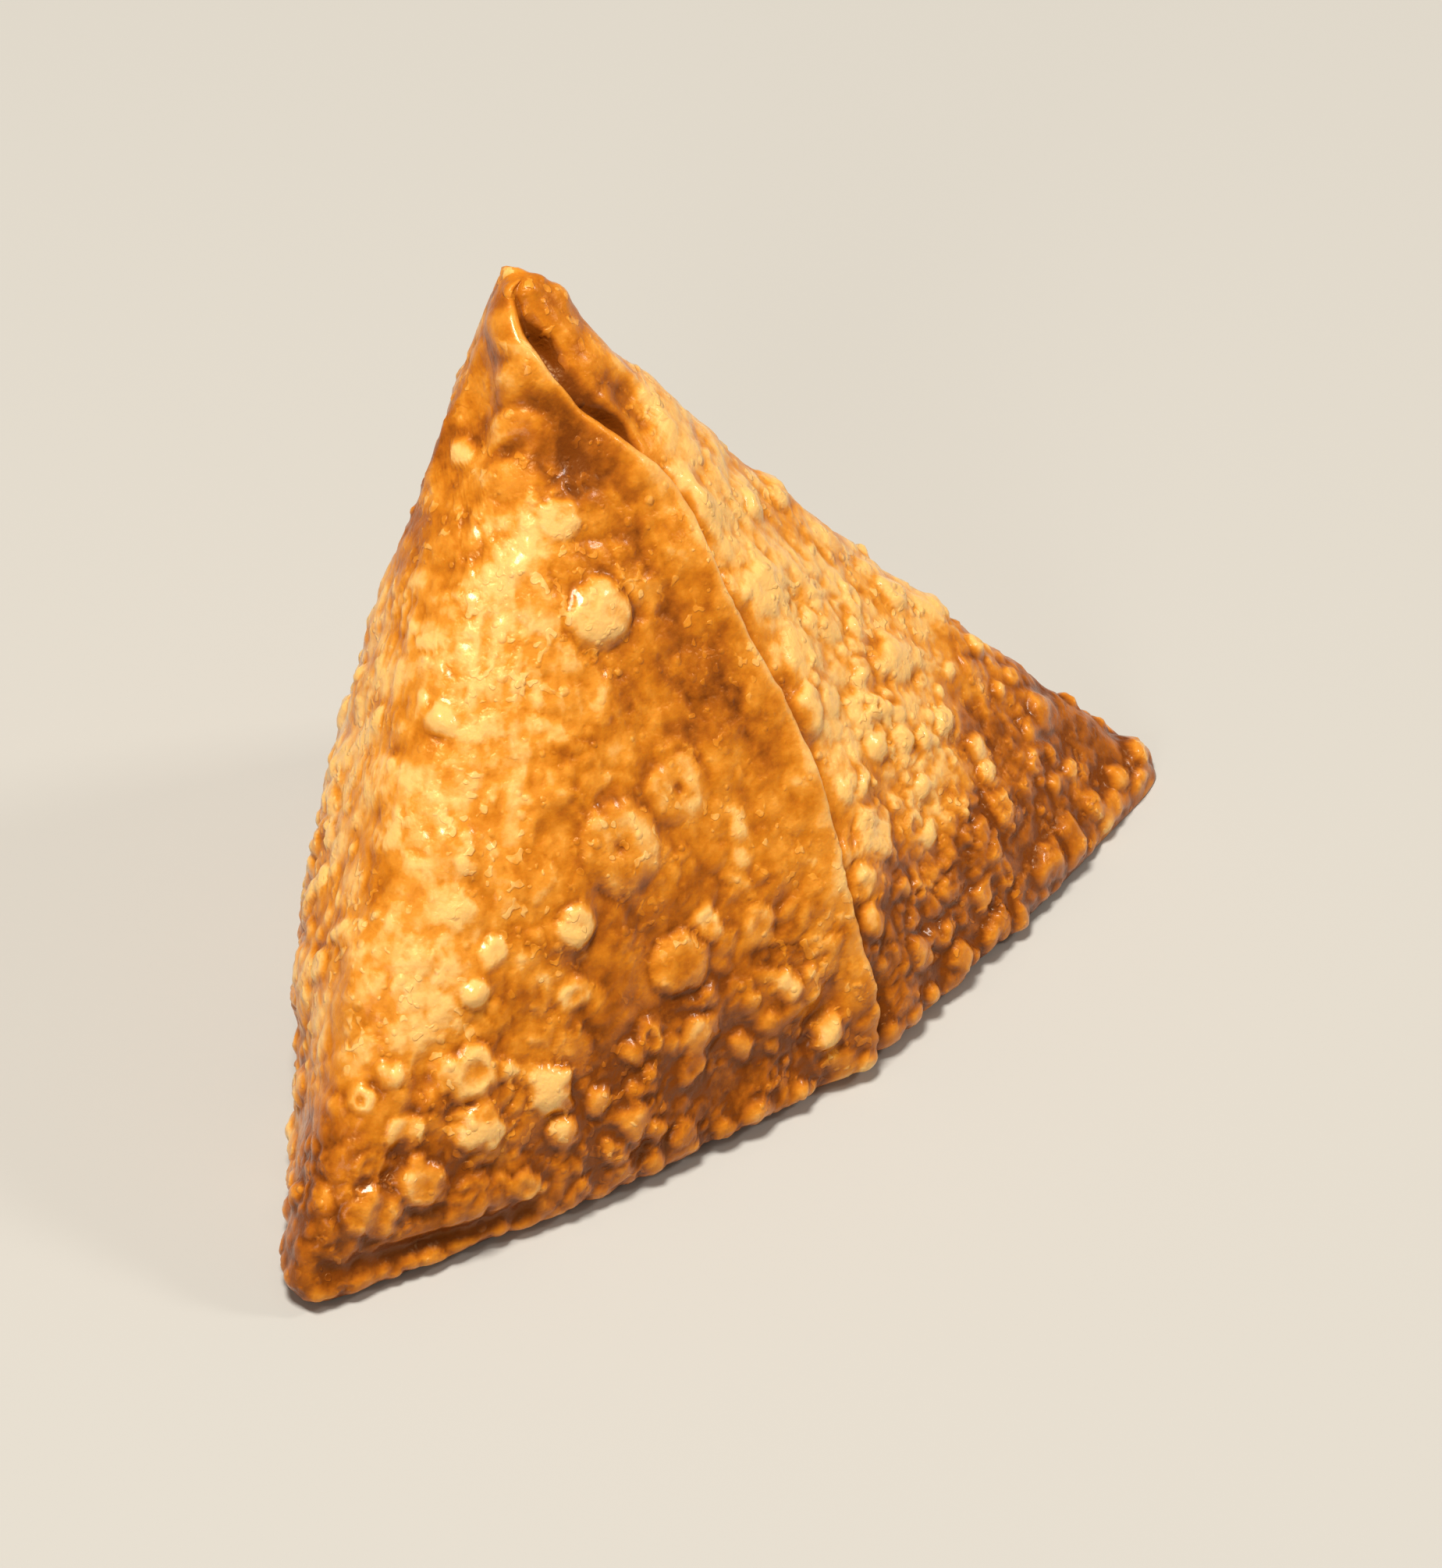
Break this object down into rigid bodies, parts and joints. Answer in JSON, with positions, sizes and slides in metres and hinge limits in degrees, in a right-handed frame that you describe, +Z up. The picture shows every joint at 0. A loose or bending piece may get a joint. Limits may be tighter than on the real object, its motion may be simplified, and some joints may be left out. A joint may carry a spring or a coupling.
{
  "type": "samosa",
  "caption": "Fried samosa: a stuffed pastry cone with an overlapping front seam, blistered crust and craggy foot, standing on its flat base.",
  "frame": {"origin": "centre of the bounding box's bottom face, at the level the samosa rests on", "axes": "+Z up towards the tip, +X from the left corner of the base to the right one, -Y out of the face with the seam"},
  "size_m": [0.0914, 0.0532, 0.0576],
  "materials": {
    "crust": "golden fried pastry, oily satin"
  },
  "bodies": {
    "root": {"samosa": "crust"}
  },
  "joints": []
}
